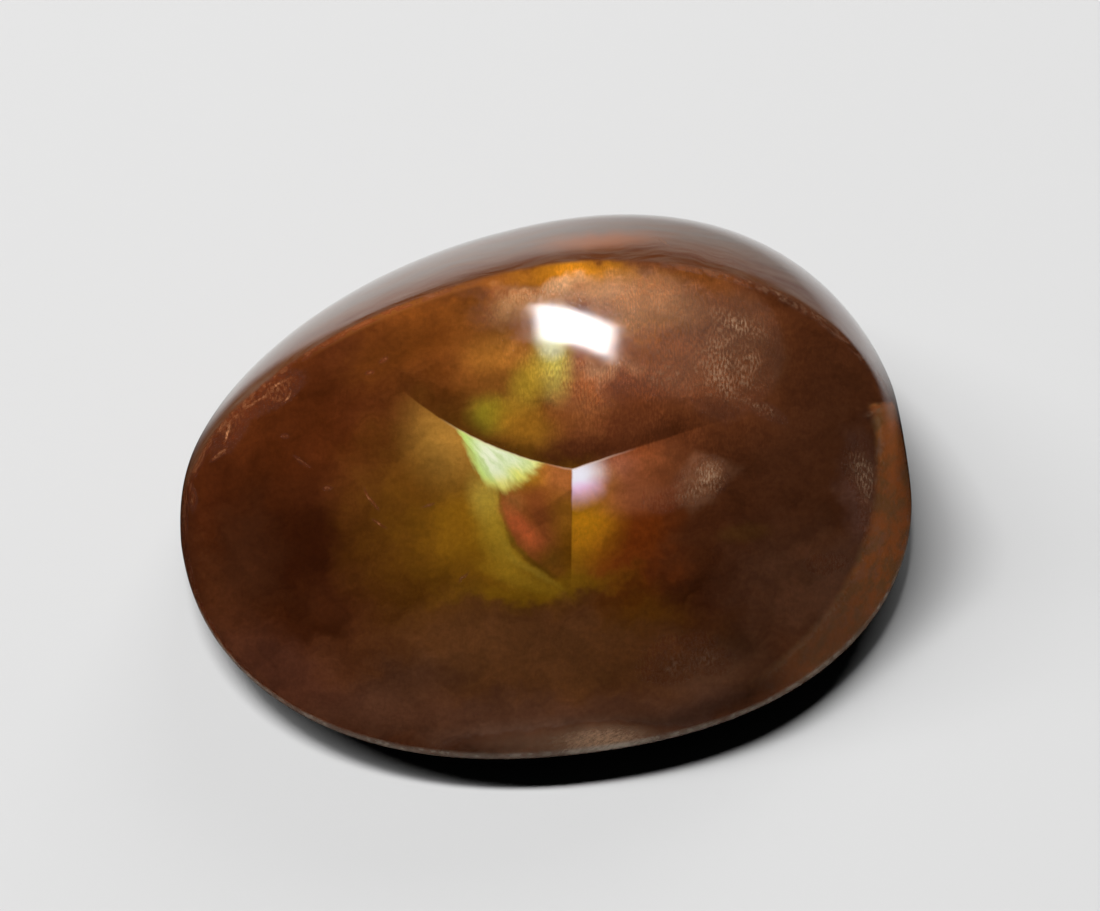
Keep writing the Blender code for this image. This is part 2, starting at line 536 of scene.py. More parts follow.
# The ground band, as both looks show it. Its inner edge is a ring on the face, soft over these
# shares of its radius, and each end is a soft straight edge: a point on it, its angle, its softness
BAND_CENTRE = (1.776, 2.107)
BAND_FIRE_RADIUS = 8.127
BAND_OUTSIDE_RADIUS = 8.458
BAND_EDGE = (0.968, 1.010)
BAND_LEFT_END = ((7.37, -5.18), math.radians(-55), 1.2)
BAND_TOP_END = ((9.78, 3.49), math.radians(180), 0.08)
STROKE_SIZE = (0.055, 0.16)


def rim_band(paint, face, calm, radius):
    """The ground band at the lower right rim, which thins out towards the left."""
    reach = paint.vector("LENGTH", paint.mapped(calm, (radius, radius), centre=BAND_CENTRE))
    ring = paint.smooth(reach, *BAND_EDGE)
    right = paint.half(face, *BAND_LEFT_END)
    top = paint.half(calm, *BAND_TOP_END)
    in_front = paint.smooth(paint.behind_crest(), 0.03, -0.03)
    return paint.times(ring, right, top, in_front)


def brushed(paint, face):
    """Short upright strokes that polishing left, over an even haze, in patches."""
    strokes = paint.grain(paint.mapped(face, STROKE_SIZE), (1.0, 2, 0.5), 0.40, 0.64, 0.15)
    return paint.times(strokes, paint.grain(face, (1.1, 3, 0.6), 0.4, 0.6, 0.4))


# Fire layer: the broad tones of the bubbles. Each row of tones is a soft ellipse that is painted
# over the rows before it: place and half size in mm, turn in radians, softness, colour, amount.
# Other spots are given in the same way, and a soft straight edge by a point, an angle, a softness
GROUND_BROWN = (0.09, 0.020, 0.0045)
CLOUD_BROWN = (0.15, 0.040, 0.012)
STREAK_BROWN = (0.2, 0.062, 0.02)
STREAK_SIZE = (3.0, 0.8)
BROAD_TONES = (
    # the left side
    ((-7.98, 3.31), (3.31, 3.31), 0, 0.7, (0.165, 0.036, 0.0075), 0.85),
    ((-10.08, 0.75), (1.08, 1.99), 0, 0.8, (0.095, 0.02, 0.005), 0.7),
    ((-7.19, -0.75), (1.99, 1.87), 0, 0.9, (0.048, 0.01, 0.0025), 0.88),
    ((-8.88, -1.2), (1.02, 1.51), 0, 0.8, (0.11, 0.036, 0.014), 0.5),
    ((-7.37, -4.82), (2.71, 1.2), -0.4, 0.7, (0.15, 0.05, 0.027), 0.7),
    # the right side
    ((7.98, 1.51), (2.71, 3.91), 0, 0.7, (0.165, 0.054, 0.021), 0.8),
    ((9.42, 0.15), (0.6, 1.81), 0.15, 0.8, (0.31, 0.135, 0.09), 0.75),
    ((8.64, -1.96), (1.02, 0.72), 0.8, 0.8, (0.29, 0.13, 0.078), 0.7),
    ((4.67, -5.12), (1.81, 0.54), 0.4, 0.8, (0.2, 0.082, 0.048), 0.6),
    ((5.72, -4.36), (1.35, 1.2), 0.3, 0.7, (0.095, 0.036, 0.016), 0.7),
    # the upper bubble, round the highlight and under the crease. Its pale, orange and bright patches nearest
    # the highlight and under the crest are painted glow of the highlight
    ((-2.44, 5.81), (2.71, 1.14), 0.38, 0.7, (0.47, 0.13, 0.018), 0.85),
    ((-1.2, 5.72), (1.32, 1.57), 0, 0.8, (0.5, 0.16, 0.026), 0.9),
    ((4.36, 5.12), (2.86, 2.26), -0.2, 0.7, (0.235, 0.066, 0.021), 0.85),
    ((4.12, 4.27), (0.78, 0.36), 0.1, 0.8, (0.36, 0.15, 0.075), 0.6),
    ((1.66, 4.06), (1.81, 2.56), 0, 0.7, (0.27, 0.072, 0.023), 0.9),
    ((1.05, 3.79), (0.72, 0.96), 0, 0.8, (0.58, 0.19, 0.05), 0.75),
    ((2.86, 5.9), (0.72, 0.51), 0, 0.8, (1.25, 0.66, 0.16), 0.9),
    ((1.78, 4.52), (0.72, 0.3), 0.2, 0.8, (0.64, 0.3, 0.14), 0.8),
    ((0.36, 2.89), (0.42, 0.42), 0, 0.8, (0.46, 0.14, 0.03), 0.7),
    ((2.41, 6.44), (1.51, 0.96), 0, 0.8, (0.62, 0.21, 0.08), 0.85),
    ((-2.86, 6.92), (1.81, 0.54), 0.3, 0.8, (0.16, 0.045, 0.01), 0.8),
    ((1.23, 7.25), (1.87, 0.42), -0.05, 0.8, (0.78, 0.29, 0.015), 0.95),
    ((0.33, 6.74), (0.96, 0.27), 0.1, 0.8, (1.05, 0.58, 0.29), 0.95),
    ((2.44, 6.5), (1.08, 0.54), -0.2, 0.8, (0.92, 0.46, 0.2), 0.85),
    ((4.61, 6.92), (1.08, 0.6), -0.3, 0.8, (0.38, 0.115, 0.02), 0.7),
    ((5.72, 5.27), (0.9, 1.2), 0.1, 0.8, (0.36, 0.15, 0.07), 0.75),
    ((3.7, 5.06), (1.2, 0.9), 0, 0.8, (0.29, 0.095, 0.034), 0.6),
    ((4.61, 1.2), (0.66, 0.48), 0.5, 0.8, (0.42, 0.19, 0.1), 0.75),
    ((-0.81, 6.35), (0.75, 0.45), 0.3, 0.8, (0.88, 0.44, 0.17), 0.85),
    # the bubbles below the creases
    ((-2.71, 0.15), (2.56, 3.01), 0, 0.6, (0.24, 0.09, 0.008), 0.9),
    ((0, -3.85), (4.52, 1.38), 0, 0.7, (0.3, 0.11, 0.034), 0.9),
    ((-4.21, -4.76), (1.69, 0.66), 0.2, 0.7, (0.17, 0.07, 0.036), 0.6),
    ((-0.45, -0.3), (2.65, 1.63), 0, 0.6, (0.5, 0.22, 0.011), 0.95),
    ((2.38, -0.15), (1.26, 1.75), 0, 0.7, (0.35, 0.066, 0.009), 0.95),
    ((3.16, -3.76), (1.51, 0.66), 0, 0.7, (0.32, 0.11, 0.032), 0.8),
    ((2.92, -2.41), (1.08, 0.6), 0, 0.8, (0.28, 0.095, 0.006), 0.6),
    ((7.22, -1.96), (1.81, 1.57), 0, 0.7, (0.27, 0.105, 0.05), 0.75),
    ((-0.15, -1.9), (1.99, 0.27), 0.12, 0.8, (0.5, 0.24, 0.01), 0.7),
    # along the near edge
    ((0.15, -5.87), (5.72, 0.84), 0, 0.7, (0.205, 0.084, 0.043), 0.8),
    ((4.36, -5.6), (1.2, 0.42), 0.5, 0.7, (0.19, 0.082, 0.05), 0.7),
)

# The upper bubble is amber up to this edge, and right of the edge lies a paler haze
UPPER_AMBER = (0.31, 0.112, 0.016)
AMBER_FOOT = ((0.84, 1.96), 0.0, 0.9)
AMBER_EDGE = ((-0.06, 3.61), math.radians(90), 0.2)
AMBER_REACH = ((-0.90, 3.61), (1.35, 2.11), 0.0, 0.7)
FINER_TONES = (
    # painted glow and haze round the highlight, where the polish scatters its light
    ((5.03, 5.12), (1.63, 1.38), 0.1, 0.8, (0.27, 0.088, 0.03), 0.75),
    ((5.03, 6.44), (1.08, 0.6), -0.3, 0.8, (0.25, 0.076, 0.019), 0.75),
    ((3.16, 6.5), (1.14, 0.66), -0.3, 0.9, (0.74, 0.34, 0.135), 0.85),
    ((1.41, 6.74), (1.02, 0.24), 0.05, 0.8, (0.95, 0.47, 0.22), 0.8),
    ((3.04, 5.18), (0.78, 0.6), 0, 0.9, (0.42, 0.118, 0.024), 0.75),
    # green and amber over the left crease
    ((-1.54, 3.04), (0.57, 0.45), -0.1, 0.8, (0.42, 0.34, 0.022), 0.9),
    ((-0.66, 2.74), (0.78, 0.54), -0.3, 0.8, (0.6, 0.25, 0.022), 0.85),
    # yellow-green under the highlight: the layer's own green with painted glow of the highlight
    ((0.21, 4.64), (0.45, 0.9), 0.1, 0.8, (0.72, 0.6, 0.1), 0.9),
    ((-0.48, 4.03), (0.45, 0.72), -0.4, 0.8, (0.64, 0.4, 0.035), 0.8),
    ((-1.35, 4.88), (0.84, 0.48), 0.2, 0.8, (0.66, 0.25, 0.035), 0.6),
    # beside and below the flashes
    ((-1.72, 0.6), (0.39, 0.72), 0.35, 0.8, (0.76, 0.54, 0.08), 0.75),
    ((-1.35, -0.48), (0.48, 1.08), 0.4, 0.8, (0.66, 0.39, 0.03), 0.8),
    ((1.9, 1.38), (0.72, 0.39), 0.3, 0.9, (0.4, 0.15, 0.085), 0.7),
    ((3.28, 1.57), (1.14, 0.45), 0.35, 0.8, (0.3, 0.088, 0.03), 0.75),
    ((1.23, 0.18), (0.78, 0.99), 0, 0.9, (0.86, 0.35, 0.012), 0.85),
    # a painted glow just below the highlight
    ((0.18, 5.12), (0.33, 0.36), 0, 0.8, (1.0, 1.0, 0.66), 0.85),
    ((2.62, 0.72), (1.02, 0.45), 0.1, 0.8, (0.5, 0.155, 0.06), 0.75),
    # towards the right and the near edge
    ((5.78, -0.33), (0.72, 0.27), 0.1, 0.5, (0.19, 0.075, 0.018), 0.6),
    ((4.79, -4.45), (1.51, 0.78), 0.35, 0.8, (0.22, 0.092, 0.046), 0.7),
    # pale haze under the near edge, partly a painted reflection of the table
    ((0.63, -6.44), (2.77, 0.48), 0.04, 0.9, (0.32, 0.175, 0.115), 0.75),
    ((1.78, -6.5), (1.02, 0.36), 0, 0.9, (0.52, 0.32, 0.21), 0.7),
)
# Gold just below the left crease, where the bubble faces the lamp: the layer's own gold with painted light
LEFT_CREASE_GLOW = (
    ((-2.86, 2.32), (0.93, 1.14), 0.5, 0.9, (0.55, 0.27, 0.045), 0.75),
)

# The drop between the creases: brown and amber at its right, a dark outline, dark red with an
# orange core. A facet has corners in mm, a softness for each side, a colour and an amount
DROP_FACETS = (
    (((-0.15, -1.69), (1.35, -1.2), (1.35, 2.11), (-0.15, 2.11)), (0.3,) * 4, (0.31, 0.115, 0.007), 1.0),
    (((-0.3, -0.3), (1.35, -0.12), (1.35, 2.11), (-0.3, 2.11)), (0.45,) * 4, (0.56, 0.21, 0.02), 1.0),
    (((-0.06, 0.66), (1.35, 0.78), (1.35, 2.11), (-0.06, 2.11)), (0.35,) * 4, (0.46, 0.145, 0.034), 1.0),
    (
        ((-1.44, 0.90), (-1.26, -0.03), (-0.99, -0.75), (-0.48, -1.26), (0.33, -1.66), (0.21, 1.02)),
        (0.08, 0.08, 0.08, 0.08, 0.5, 0.25), (0.25, 0.105, 0.010), 0.75,
    ),
    (
        ((-1.35, 0.87), (-1.14, 0.0), (-0.87, -0.66), (-0.39, -1.14), (0.33, -1.51), (0.21, 1.02)),
        (0.07, 0.07, 0.07, 0.12, 0.45, 0.3), (0.46, 0.125, 0.026), 0.95,
    ),
)
DROP_TONES = (
    ((-0.96, 0.51), (0.27, 0.3), 0, 0.9, (0.5, 0.19, 0.045), 0.7),
    ((-0.18, 0.0), (0.21, 0.72), 0.25, 0.9, (0.34, 0.085, 0.022), 0.7),
    ((-0.66, -0.24), (0.69, 0.24), -0.85, 0.9, (0.82, 0.175, 0.05), 0.9),
    ((0.09, -1.14), (0.36, 0.36), 0, 0.9, (0.24, 0.11, 0.008), 0.7),
)
DROP_LINES = (
    ((-1.20, -0.63), (0.60, 0.09), -1.05, 0.8, (0.62, 0.37, 0.03), 0.7),
    ((-0.30, -1.47), (0.72, 0.105), -0.52, 0.8, (0.72, 0.44, 0.04), 0.7),
    ((-0.69, -1.69), (1.02, 0.21), -0.35, 0.8, (0.64, 0.35, 0.022), 0.7),
)

# Light and shade along the creases, and the hatching in the upper right
CREASE_LIGHT = ((0.45, 2.41), (4.21, 2.11), 0.0, 0.4)
LIT_GAIN = 0.18
DARK_LOSS = 0.25
HATCHING = ((2.86, 4.82), (3.61, 2.56), 0.0, 0.8)
FIRE_LEVEL = 0.86

# The flashes are painted reflections of the lamp in the fire layer's own iridescent colours: green to white
# left of the drop, with fine rays, and violet right of it
GREEN_CORNERS = (
    (-1.78, 1.08), (-1.35, 0.78), (-0.12, 1.47), (0.06, 2.11), (-2.56, 3.01), (-2.56, 2.53), (-2.23, 1.78),
)
GREEN_SOFTNESS = (0.3, 0.4, 0.4, 0.05, 0.2, 0.2, 0.3)
RAY_ORIGIN = (-2.92, 3.07)
RAYS_PER_RADIAN = 10.0
RAYS_PER_MM = 1.4
FLASH_GREEN = (0.62, 0.80, 0.20)
FLASH_YELLOW = (0.92, 0.88, 0.20)
FLASH_WHITE = (0.96, 1.0, 0.74)
FLASH_SHADE = (0.46, 0.66, 0.17)
FLASH_GOLD = (0.80, 0.70, 0.14)
YELLOW_EDGE = ((-1.17, 1.51), math.radians(212), 0.3)
GOLD_EDGE = ((-1.35, 1.02), math.radians(190), 0.3)
FLASH_STREAKS = (
    ((-1.57, 1.78), (0.66, 0.27), -0.95, 0.85, FLASH_WHITE, 0.95),
    ((-1.11, 1.87), (0.66, 0.24), -0.35, 0.85, FLASH_WHITE, 0.9),
)
VIOLET = (1.0, 0.66, 1.0)
VIOLET_WHITE = (0.92, 0.90, 1.0)
VIOLET_EDGE = ((1.14, 1.11), 0.2, 0.22)
VIOLET_SPOT = ((0.93, 1.29), (0.60, 0.57), 0.3, 0.85)
# Thin painted highlights just under the creases, left and right of where they join
LEFT_GLINT = ((-1.54, 2.23), (1.32, 0.78), -0.35, 0.4)
LEFT_GLINT_COLOUR = (1.0, 0.78, 0.40)
LEFT_GLINT_AMOUNT = 0.32
RIGHT_GLINT = ((1.23, 1.72), (0.90, 0.54), 0.3, 0.8)
RIGHT_GLINT_COLOUR = (1.0, 0.74, 0.58)
RIGHT_GLINT_AMOUNT = 0.35

# The back slope and the ground band
BACK_BROWN = (0.135, 0.040, 0.014)
BACK_MILKY = (0.19, 0.14, 0.115)
LAYER_BROWN = (0.21, 0.085, 0.035)
FINE_LAYER = (0.27, 0.20, 0.15)
POOL_BROWN = (0.16, 0.060, 0.022)
CREST_AMBER = (0.34, 0.11, 0.022)
CREST_REACH = ((-3.76, 6.32), (2.86, 1.20), 0.42, 0.5)
BACK_AMBER = (0.40, 0.13, 0.04)
BACK_AMBER_SPOT = ((1.75, 8.34), (1.38, 0.21), 0.06, 0.9)
BAND_ORANGE = (0.58, 0.205, 0.058)
BAND_OLIVE = (0.36, 0.185, 0.072)
BAND_PALE = (0.40, 0.22, 0.15)
BAND_TOP_ORANGE = (0.70, 0.25, 0.06)
BAND_TOP = ((10.38, 2.65), (0.36, 1.02), -0.1, 0.8)
BAND_LOW = ((9.48, -2.71), math.radians(-35), 1.5)
BAND_LOW_BROWN = (0.37, 0.195, 0.108)

Places = namedtuple("Places", "face ripple loose calm")
Texture = namedtuple("Texture", "clouds streaks mottle grain")
Creases = namedtuple("Creases", "under below east west")


def fire_places(paint):
    """Face coordinates: as they are, and moved by a broad and by a fine wander."""
    face = paint.face_coordinates()
    loose = paint.moved(face, paint.wander(face, 0.8, 3, 0.6), 2.0)
    ripple = paint.wander(face, 2.6, 2, 0.5)
    return Places(face, ripple, loose, paint.moved(face, ripple, 0.2))


def fire_texture(paint, places):
    """What runs through the whole fire layer, each from 0 to 1."""
    clouds = paint.grain(places.loose, (0.35, 3, 0.6), 0.35, 0.65)
    streaks = paint.grain(paint.mapped(places.loose, STREAK_SIZE, 0.3), (1.0, 5, 0.7), 0.3, 0.7)
    mottle = paint.grain(places.loose, (0.8, 2, 0.5), 0.3, 0.7)
    return Texture(clouds, streaks, mottle, paint.grain(places.face, (6.0, 3, 0.7), 0.3, 0.7))


def amber_bubble(paint, places, colour):
    above = paint.half(places.calm, *AMBER_FOOT)
    left = paint.half(places.calm, *AMBER_EDGE)
    near = paint.spot(places.calm, *AMBER_REACH)
    return paint.mix(colour, UPPER_AMBER, paint.times(above, left, near, 0.7))


def crease_masks(paint, places):
    """How far under the creases a point is, and masks of what lies below them and beside the third."""
    steady = paint.moved(places.face, places.ripple, 0.05)
    from_centre = paint.vector("LENGTH", paint.vector("SUBTRACT", steady, (*ARC_CENTRE, 0)))
    under_arc = paint.math("SUBTRACT", from_centre, ARC_RADIUS)
    normal = (math.sin(RIGHT_CREASE), -math.cos(RIGHT_CREASE), 0)
    shift = normal[0] * JUNCTION[0] + normal[1] * JUNCTION[1]
    under_line = paint.math("SUBTRACT", paint.vector("DOT_PRODUCT", steady, normal), shift)
    under = paint.math("MAXIMUM", under_arc, under_line)
    below = paint.smooth(under, -0.015, 0.035)
    east = paint.half(steady, JUNCTION, SIDE_CREASE, 0.035)
    return Creases(under, below, east, paint.math("SUBTRACT", 1.0, east))


def drop_colours(paint, places, creases, colour):
    for corners, softness, tone, amount in DROP_FACETS:
        mask = paint.polygon(places.calm, corners, softness)
        colour = paint.mix(colour, tone, paint.times(mask, creases.west, creases.below, amount))
    colour = paint.patched(colour, places.calm, DROP_TONES, creases.west)
    return paint.patched(colour, places.calm, DROP_LINES)


def crease_light(paint, places, creases):
    """Each bubble is bright where it faces the light below a crease and dark above it."""
    near = paint.spot(places.calm, *CREASE_LIGHT)
    under = creases.under
    lit = paint.times(near, paint.smooth(under, -0.01, 0.04), paint.smooth(under, 1.1, 0.1))
    dark = paint.times(near, paint.smooth(under, 0.02, -0.03), paint.smooth(under, -0.9, -0.05))
    lit = paint.math("MULTIPLY_ADD", lit, LIT_GAIN, 1.0)
    return paint.math("SUBTRACT", lit, paint.times(dark, DARK_LOSS))


def fine_shade(paint, places, texture):
    """Mottling, streaks, grain and hatching run through everything."""
    shade = paint.smooth(texture.grain, 0, 1, 0.92 * FIRE_LEVEL, 1.07 * FIRE_LEVEL)
    shade = paint.times(shade, paint.smooth(texture.streaks, 0, 1, 0.9, 1.1))
    shade = paint.times(shade, paint.smooth(texture.mottle, 0, 1, 0.9, 1.09))
    hatched = paint.spot(places.calm, *HATCHING)
    hatch = paint.math("SUBTRACT", brushed(paint, places.face), 0.25)
    amount = paint.math("MULTIPLY_ADD", hatched, 0.5, 0.1)
    return paint.times(shade, paint.math("MULTIPLY_ADD", hatch, amount, 1.0))


def flash_rays(paint, places):
    """Rays that spread from the upper left end of the green flash, from 0 to 1."""
    offset = paint.mapped(places.calm, (1, 1), centre=RAY_ORIGIN)
    parts = paint.node("ShaderNodeSeparateXYZ", ((0, offset),)).outputs
    bearing = paint.math("ARCTAN2", parts[1], parts[0])
    fan = paint.combined(paint.times(bearing, RAYS_PER_RADIAN), paint.times(parts[0], RAYS_PER_MM))
    return paint.grain(fan, (1.0, 3, 0.6), 0.34, 0.62)


def painted_flash_reflections(paint, places, creases, colour):
    """The colour with the flashes, painted reflections of the lamp in the layer's own iridescent colours, cut
    off by the creases, with painted highlight lines along the creases, and a mask of where they are.
    """
    calm = places.calm
    rays = flash_rays(paint, places)
    flash = paint.mix(FLASH_GREEN, FLASH_YELLOW, paint.half(calm, *YELLOW_EDGE))
    flash = paint.patched(flash, calm, FLASH_STREAKS)
    flash = paint.mix(flash, FLASH_SHADE, paint.times(paint.math("SUBTRACT", 1.0, rays), 0.5))
    flash = paint.mix(flash, FLASH_GOLD, paint.half(calm, *GOLD_EDGE))
    green = paint.polygon(calm, GREEN_CORNERS, GREEN_SOFTNESS)
    green = paint.smooth(paint.math("MULTIPLY_ADD", rays, 0.25, green), 0.26, 1.1)
    violet = paint.mix(VIOLET, VIOLET_WHITE, paint.half(calm, *VIOLET_EDGE))
    pink = paint.spot(calm, *VIOLET_SPOT)
    # a thin painted highlight just under the creases
    line = paint.times(paint.smooth(creases.under, -0.02, 0.0), paint.smooth(creases.under, 0.07, 0.02))
    left_glint = paint.spot(calm, *LEFT_GLINT)
    right_glint = paint.spot(calm, *RIGHT_GLINT)
    lit = 0.0
    for mask, tone in (
        (paint.times(green, creases.below, creases.west), flash),
        (paint.times(pink, creases.below, creases.east), violet),
        (paint.times(line, left_glint, LEFT_GLINT_AMOUNT), LEFT_GLINT_COLOUR),
        (paint.times(line, right_glint, RIGHT_GLINT_AMOUNT), RIGHT_GLINT_COLOUR),
    ):
        colour = paint.mix(colour, tone, mask)
        lit = paint.math("MAXIMUM", mask, lit)
    return colour, lit


def back_colours(paint, places, colour):
    """The back slope is brown under the crest and milky further away, with layers along the crest."""
    past = paint.behind_crest()
    behind = paint.smooth(past, -0.04, 0.08)
    stone = paint.stone_place()
    across = paint.vector("DOT_PRODUCT", stone, tuple(RIGHT / MM))
    drift = paint.math("MULTIPLY_ADD", paint.noise(stone, 0.35 / MM, 2, 0.5), 0.8, past)
    along = paint.combined(paint.times(across, 0.22), paint.times(drift, 2.6))
    layers = paint.grain(along, (1.3, 4, 0.6), 0.38, 0.62)
    fine_layers = paint.grain(along, (4.5, 3, 0.6), 0.35, 0.65)
    pool = paint.grain(stone, (0.16 / MM, 3, 0.6), 0.4, 0.62)
    milky = paint.mix(BACK_BROWN, BACK_MILKY, paint.smooth(past, 0.3, 1.0))
    milky = paint.mix(milky, LAYER_BROWN, paint.times(layers, 0.45))
    milky = paint.mix(milky, FINE_LAYER, paint.times(fine_layers, 0.26))
    low = paint.smooth(paint.stone_height(), 7.0, 3.0)
    milky = paint.mix(milky, POOL_BROWN, paint.times(pool, low, 0.6))
    edge = paint.times(paint.smooth(past, -0.16, -0.07), paint.spot(places.face, *CREST_REACH))
    colour = paint.mix(colour, CREST_AMBER, paint.times(edge, 0.6))
    amber = paint.spot(places.calm, *BACK_AMBER_SPOT)
    high = paint.smooth(paint.stone_height(), 5.0, 7.0)
    milky = paint.mix(milky, BACK_AMBER, paint.times(amber, high, 0.7))
    return paint.mix(colour, milky, behind)


def band_colours(paint, places, colour):
    """The ground band is orange with olive and pale blotches, and browner low down."""
    blotches = paint.noise(paint.mapped(places.face, (0.8, 1.3), -0.5), 1.6, 4, 0.7, "Color")
    parts = paint.node("ShaderNodeSeparateColor", ((0, blotches),)).outputs
    tone = paint.mix(BAND_ORANGE, BAND_OLIVE, paint.smooth(parts[0], 0.42, 0.60))
    tone = paint.mix(tone, BAND_PALE, paint.smooth(parts[1], 0.48, 0.68, 0.0, 0.6))
    top = paint.spot(places.calm, *BAND_TOP)
    tone = paint.mix(tone, BAND_TOP_ORANGE, paint.times(top, 0.35))
    low = paint.half(places.face, *BAND_LOW)
    tone = paint.mix(BAND_LOW_BROWN, tone, paint.math("MULTIPLY_ADD", low, 0.5, 0.5))
    band = rim_band(paint, places.face, places.calm, BAND_FIRE_RADIUS)
    return paint.mix(colour, tone, paint.times(band, paint.math("MULTIPLY_ADD", low, 0.3, 0.65)))


def paint_fire(material, shader):
    """The colours of the bubbles, the flashes, the layers of the back slope and the ground band, with painted
    light and shade along the creases and painted glow and reflections of the lamp.
    """
    paint = Paint(material)
    places = fire_places(paint)
    texture = fire_texture(paint, places)
    colour = paint.mix(GROUND_BROWN, CLOUD_BROWN, texture.clouds)
    colour = paint.mix(colour, STREAK_BROWN, paint.times(texture.streaks, 0.3))
    colour = paint.patched(colour, places.loose, BROAD_TONES)
    colour = amber_bubble(paint, places, colour)
    colour = paint.patched(colour, places.calm, FINER_TONES)
    creases = crease_masks(paint, places)
    colour = paint.patched(colour, places.calm, LEFT_CREASE_GLOW, creases.below)
    colour = drop_colours(paint, places, creases, colour)
    colour = paint.shaded(colour, crease_light(paint, places, creases))
    colour = paint.shaded(colour, fine_shade(paint, places, texture))
    colour, lit = painted_flash_reflections(paint, places, creases, colour)
    paint.link(paint.smooth(lit, 0.0, 1.0, 0.25, 0.0), shader.inputs["Metallic"])
    colour = back_colours(paint, places, colour)
    paint.link(band_colours(paint, places, colour), shader.inputs["Base Color"])


# What wear and polishing left on the outside, and a painted reflection of the table on the near edge: place
# and half size in mm, turn in radians, amount
DULL_PATCHES = (
    # round the highlight
    ((1.78, 6.47), (2.77, 0.21), -0.08, 0.22),
    ((3.52, 6.65), (1.35, 0.48), -0.2, 0.18),
    ((-1.2, 6.38), (0.78, 0.42), 0.4, 0.08),
    ((3.7, 5.12), (1.32, 1.02), -0.1, 0.14),
    # the upper right
    ((5.72, 5.93), (0.27, 0.24), 0, 0.46),
    ((5.72, 5.12), (0.84, 1.08), 0.1, 0.34),
    ((5.33, 3.85), (0.66, 0.6), 0.2, 0.19),
    ((6.47, 3.31), (0.54, 0.15), -0.5, 0.32),
    ((1.35, 4.27), (1.08, 0.72), 0, 0.1),
    ((4.12, 4.3), (0.9, 0.36), 0.1, 0.22),
    # below the right crease and towards the band
    ((4.3, 1.02), (0.39, 0.33), 0.6, 0.42),
    ((4.88, 1.32), (0.36, 0.39), 0.2, 0.6),
    ((3.61, 0.6), (0.42, 0.27), 0.3, 0.1),
    ((3.94, -4.09), (0.84, 0.48), 0.3, 0.3),
    ((5.03, -4.15), (0.42, 0.3), 0.1, 0.16),
    # both ends
    ((9.48, 1.57), (0.42, 0.66), 0.2, 0.26),
    ((9.66, 0.6), (0.27, 1.08), 0.1, 0.24),
    ((8.4, -1.26), (0.48, 0.24), 0.1, 0.12),
    ((7.68, 6.62), (1.2, 0.24), -0.45, 0.12),
    ((-9.42, 2.86), (0.36, 0.66), -0.5, 0.16),
    ((-8.13, 3.79), (0.78, 0.3), 0.55, 0.16),
)
# The near edge: pale, partly from wear and partly a painted reflection of the table
NEAR_EDGE_WEAR_AND_REFLECTION = (
    ((0.90, -6.56), (2.41, 0.30), 0.05, 0.30),
    ((1.72, -6.50), (0.96, 0.33), 0.05, 0.75),
)
SCRATCHES = (
    # left of the flash, over the crest and below the right crease
    ((-5.15, 0.63), (0.24, 0.036), -1.0, 0.3),
    ((-4.91, -0.09), (0.18, 0.036), -0.5, 0.25),
    ((-7.22, 1.75), (0.21, 0.036), -0.6, 0.15),
    ((-1.81, 8.28), (0.27, 0.036), -0.4, 0.2),
    ((3.61, 8.28), (0.18, 0.036), -0.5, 0.2),
    ((2.92, 0.63), (0.18, 0.036), 1.5, 0.2),
    # the left end and its crest
    ((-9.48, 2.59), (0.24, 0.036), 1.35, 0.55),
    ((-9.72, 1.96), (0.21, 0.072), 0.6, 0.28),
    ((-8.76, 3.43), (0.21, 0.036), 0.5, 0.34),
    ((-8.34, 3.7), (0.27, 0.036), 0.55, 0.24),
    ((-7.89, 4.09), (0.24, 0.036), 0.5, 0.36),
    ((-7.65, 3.7), (0.15, 0.033), 0.9, 0.32),
    ((-7.89, 3.58), (0.12, 0.036), 0.9, 0.18),
    ((-7.74, 2.53), (0.09, 0.048), 0, 0.16),
    ((-6.44, 0.96), (0.12, 0.048), 0.2, 0.22),
    ((-5.21, 4.39), (0.09, 0.042), 0, 0.2),
    ((-4.79, 4.79), (0.09, 0.042), 0.8, 0.2),
    ((-10.5, 0.6), (0.09, 0.24), 0, 0.12),
    # the middle and the right rim
    ((1.57, 3.85), (0.42, 0.027), -0.9, 0.14),
    ((-2.41, -1.66), (0.15, 0.03), 0.9, 0.15),
    ((-3.46, 0.45), (0.15, 0.03), 0.2, 0.12),
    ((9.9, 3.28), (0.3, 0.102), 0.35, 0.26),
)
CREST_LEFT = ((-2.71, 6.62), math.radians(90), 1.0)
CREST_RIGHT = ((4.06, 7.53), math.radians(-90), 1.0)
SAW_MARKS = (7.98, 0.25)
MOST_DULL = 0.8
CLEAR_TINT = (1, 0.98, 0.96)
WARM_TINT = (0.78, 0.33, 0.145)
PALE_TINT = (0.76, 0.46, 0.28)
EDGE_WEAR_AND_REFLECTION_TINT = (0.62, 0.52, 0.42)
PALE_TINT_EDGE = ((-4.06, 3.61), math.radians(-90), 1.0)
SLOW_TINT = ((2.26, 6.02), (3.31, 1.81), 0.0, 0.6)
COATED = ((1.66, 5.78), (2.29, 0.84), -0.2, 0.7)


